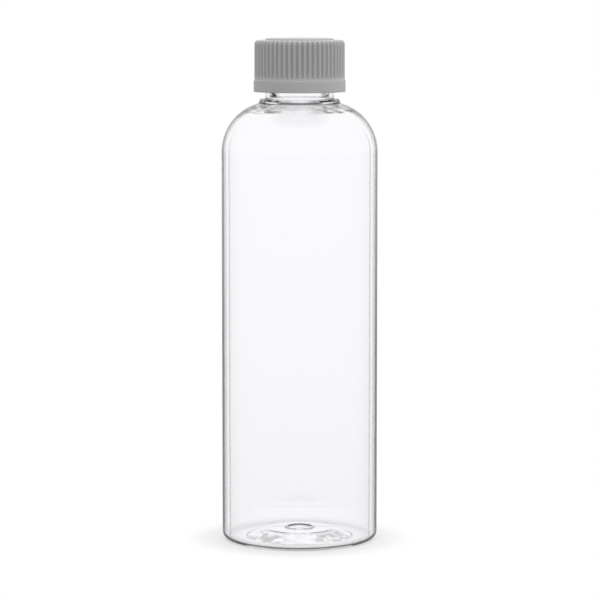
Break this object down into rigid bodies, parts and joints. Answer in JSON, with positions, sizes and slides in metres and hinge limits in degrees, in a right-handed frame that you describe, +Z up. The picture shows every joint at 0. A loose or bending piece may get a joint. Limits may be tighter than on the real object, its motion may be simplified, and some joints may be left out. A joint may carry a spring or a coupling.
{
  "type": "child-resistant plastic bottle",
  "caption": "Empty clear round plastic bottle with a rounded shoulder, a short neck with a support bead and a grey fluted push-and-turn screw cap.",
  "frame": {"origin": "middle of the foot ring that the bottle stands on", "axes": "+Z up along the axis of the bottle and its cap; X and Y are free, because the bottle is round"},
  "size_m": [0.0482, 0.0482, 0.1557],
  "materials": {
    "clear_plastic": "clear, colourless, smooth and glossy",
    "grey_plastic": "neutral mid grey, slightly satin moulded polypropylene",
    "inner_plastic": "natural white moulded polypropylene"
  },
  "bodies": {
    "root": {"bottle": "clear_plastic", "cap_shell": "grey_plastic", "cap_inner": "inner_plastic"}
  },
  "joints": []
}
